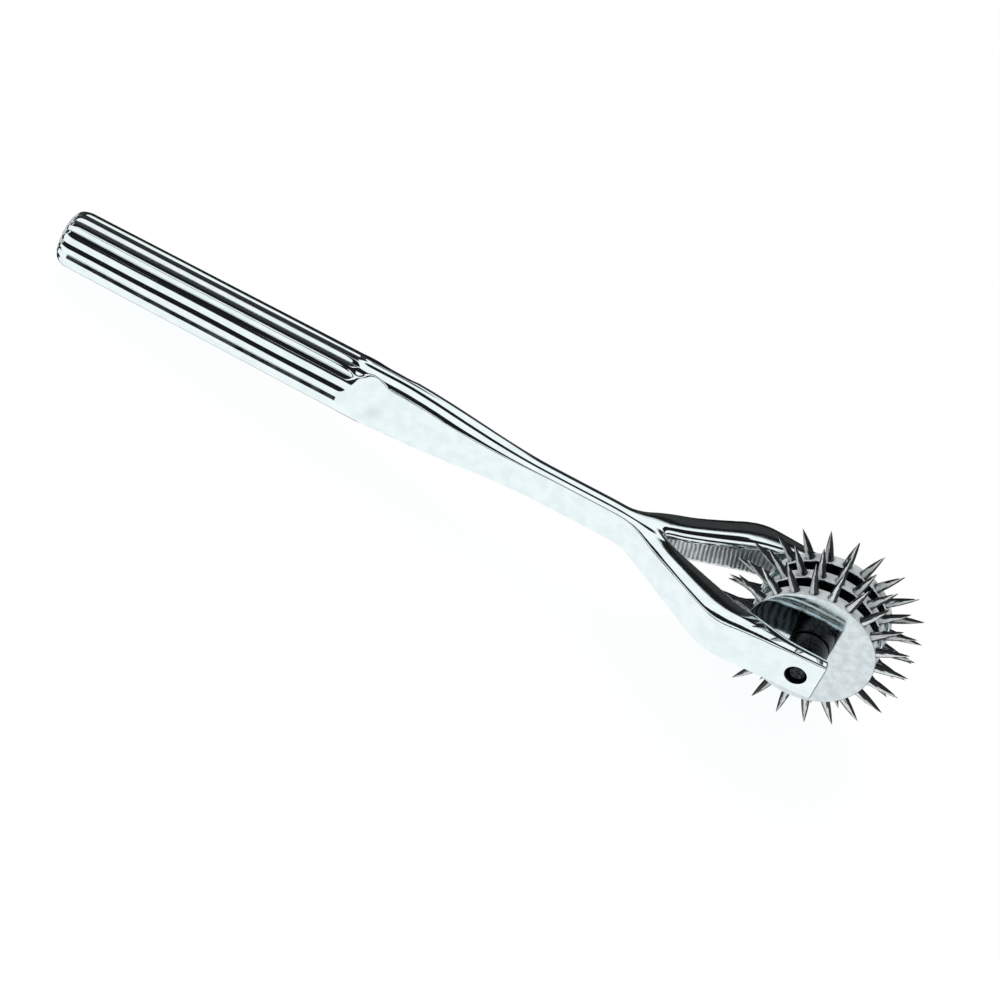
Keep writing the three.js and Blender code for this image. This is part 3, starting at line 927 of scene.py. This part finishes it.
# Studio: white table, white surround, and a dark tent with bright panels that only the polished
# steel sees. Panel angles go from the far horizon (0) over the top (90) to the near horizon (180)
# and on below it. Lengths are in metres.
studio = {
    "tableEnds": (-0.4, 0.4), "tableSides": (-0.3, 0.3), "tableLevel": 1.0, "plainLevel": 0.8,
    "shadowTint": (0.10, 0.035, 0.035, 1), "shadowShare": 0.9, "skyLevel": 0.72,
    "tentRadius": 2.4, "tentFootDegrees": -62, "tentRings": 48, "tentSides": 96, "tentDark": 0.012,
    "panels": [
        {"low": 8, "high": 40, "level": 0.03},
        {"low": -62, "high": -5, "level": 0.6, "beyond": (0.40, 0.52)},
        {"low": 49.5, "high": 61, "level": 1.0},
        {"low": 96, "high": 124, "level": 0.95},
        {"low": 147, "high": 262, "level": 0.97},
    ],
    "panelEdgeDegrees": 1.5,
    "lampWatts": 1.1, "lampSpreadDegrees": 50, "lampTurnDegrees": (-38, -22, 0),
}


def tableMaterial():
    # to the camera a glow that comes to white with the lit tint, so that a shadow hardly dims it
    s = studio
    material, shader = newMaterial("whiteTable")
    glowing = tuple(s["tableLevel"] - part * s["shadowShare"] for part in s["shadowTint"][:3]) + (1,)
    glow = shader.node("ShaderNodeEmission", {}, {"Color": glowing, "Strength": 1.0})
    shaded = shader.node("ShaderNodeBsdfDiffuse", {}, {"Color": s["shadowTint"]})
    direct = shader.node("ShaderNodeAddShader", {}, [glow, shaded])
    plain = shader.node("ShaderNodeBsdfDiffuse", {}, {"Color": grey(s["plainLevel"])})
    seen = shader.node("ShaderNodeLightPath", output="Is Camera Ray")
    surface = shader.node("ShaderNodeMixShader", {}, [seen, plain, direct])
    shader.node("ShaderNodeOutputMaterial", {}, {"Surface": surface})
    return material


def tentMaterial():
    # the strongest of the panels at the angle about X, over the tent's own dark
    s = studio
    material, shader = newMaterial("lightTent")
    material.cycles.emission_sampling = "NONE"
    direction = shader.node("ShaderNodeVectorMath", {"operation": "NORMALIZE"}, [shader.place()])
    x, y, z = shader.axes(direction)
    # the near side's angles run on past 180 below the horizon
    angle = z.math("ARCTAN2", y) * (180 / math.pi)
    angle = angle + angle.math("LESS_THAN", -90.0) * 360.0
    edge = s["panelEdgeDegrees"]
    total = 0.0
    for panel in s["panels"]:
        mask = shader.between(angle, panel["low"] - edge, panel["low"] + edge)
        mask = mask * shader.between(angle, panel["high"] - edge, panel["high"] + edge, 1.0, 0.0)
        if "beyond" in panel:
            # only towards the two ends
            mask = mask * shader.between(x.math("ABSOLUTE"), *panel["beyond"])
        total = (mask * panel["level"]).math("MAXIMUM", total)
    glow = shader.node("ShaderNodeEmission", {}, {"Color": grey(1.0), "Strength": total + s["tentDark"]})
    shader.node("ShaderNodeOutputMaterial", {}, {"Surface": glow})
    return material


def makeTable():
    s = studio
    corners = np.array([[[x, y, 0.0] for x in s["tableEnds"]] for y in s["tableSides"]])
    table = makePiece("table", [(corners, False, 0)], [tableMaterial()])
    table.visible_glossy = False
    return table


def makeTent():
    # a dome from below the table's level to straight above, seen by glossy rays alone
    s = studio
    up = np.linspace(math.radians(s["tentFootDegrees"]), math.pi / 2, s["tentRings"])
    turn = np.arange(s["tentSides"]) * 2 * np.pi / s["tentSides"]
    points = np.stack([np.outer(np.cos(up), np.cos(turn)), np.outer(np.cos(up), np.sin(turn)),
                       np.outer(np.sin(up), np.ones(s["tentSides"]))], -1)
    tent = makePiece("light_tent", [(points * s["tentRadius"], True, 0)], [tentMaterial()])
    tent.visible_camera = False
    tent.visible_diffuse = False
    tent.visible_transmission = False
    tent.visible_shadow = False
    return tent


def makeSurround():
    # white where it is seen or mirrored, a little darker as light
    s = studio
    world = bpy.data.worlds.new("whiteSurround")
    world.use_nodes = True
    world.node_tree.nodes.clear()
    shader = Shader(world.node_tree)
    seen = shader.node("ShaderNodeLightPath", output="Is Camera Ray")
    for kind in ("Is Glossy Ray", "Is Transmission Ray"):
        seen = seen.math("MAXIMUM", shader.node("ShaderNodeLightPath", output=kind))
    strength = seen * (1.0 - s["skyLevel"]) + s["skyLevel"]
    surround = shader.node("ShaderNodeBackground", {}, {"Color": grey(1.0), "Strength": strength})
    shader.node("ShaderNodeOutputWorld", {}, {"Surface": surround})
    bpy.context.scene.world = world


def makeLamp():
    s = studio
    lamp = bpy.data.lights.new("softLamp", "SUN")
    lamp.energy = s["lampWatts"]
    lamp.angle = math.radians(s["lampSpreadDegrees"])
    light = bpy.data.objects.new("soft_lamp", lamp)
    light.rotation_euler = [math.radians(degrees) for degrees in s["lampTurnDegrees"]]
    light.visible_glossy = False
    bpy.context.scene.collection.objects.link(light)


# The camera as the photo was taken, in the handle's frame: directions of the picture's right and
# down, the place in millimetres and the focal length in picture widths
shot = {"right": (0.8843, 0.3424, 0.3175), "down": (0.4650, -0.5830, -0.6663),
        "place": (-36.79, -463.81, 415.94), "focalWidths": 3.32417, "sensor": 36.0, "clip": (0.01, 20)}


def makeCamera():
    # down is squared up to right, and forward is square to both
    right = np.array(shot["right"]) / np.linalg.norm(shot["right"])
    down = np.array(shot["down"]) - right * np.dot(right, shot["down"])
    down = down / np.linalg.norm(down)
    forward = np.cross(right, down)
    turned = [tiltedVectors(v, resting["tiltDegrees"]) for v in (right, -down, -forward)]
    data = bpy.data.cameras.new("photoCamera")
    data.sensor_fit = "HORIZONTAL"
    data.sensor_width = shot["sensor"]
    data.lens = shot["focalWidths"] * shot["sensor"]
    data.clip_start, data.clip_end = shot["clip"]
    camera = bpy.data.objects.new("photo_camera", data)
    bpy.context.scene.collection.objects.link(camera)
    pose = Matrix(np.stack(turned, 1).tolist()).to_4x4()
    pose.translation = toWorld(np.array(shot["place"])).tolist()
    camera.matrix_world = pose
    bpy.context.scene.camera = camera


makeTable()
makeTent()
makeSurround()
makeLamp()
makeCamera()
bpy.context.scene.view_settings.view_transform = "Standard"
print("studio and camera made")
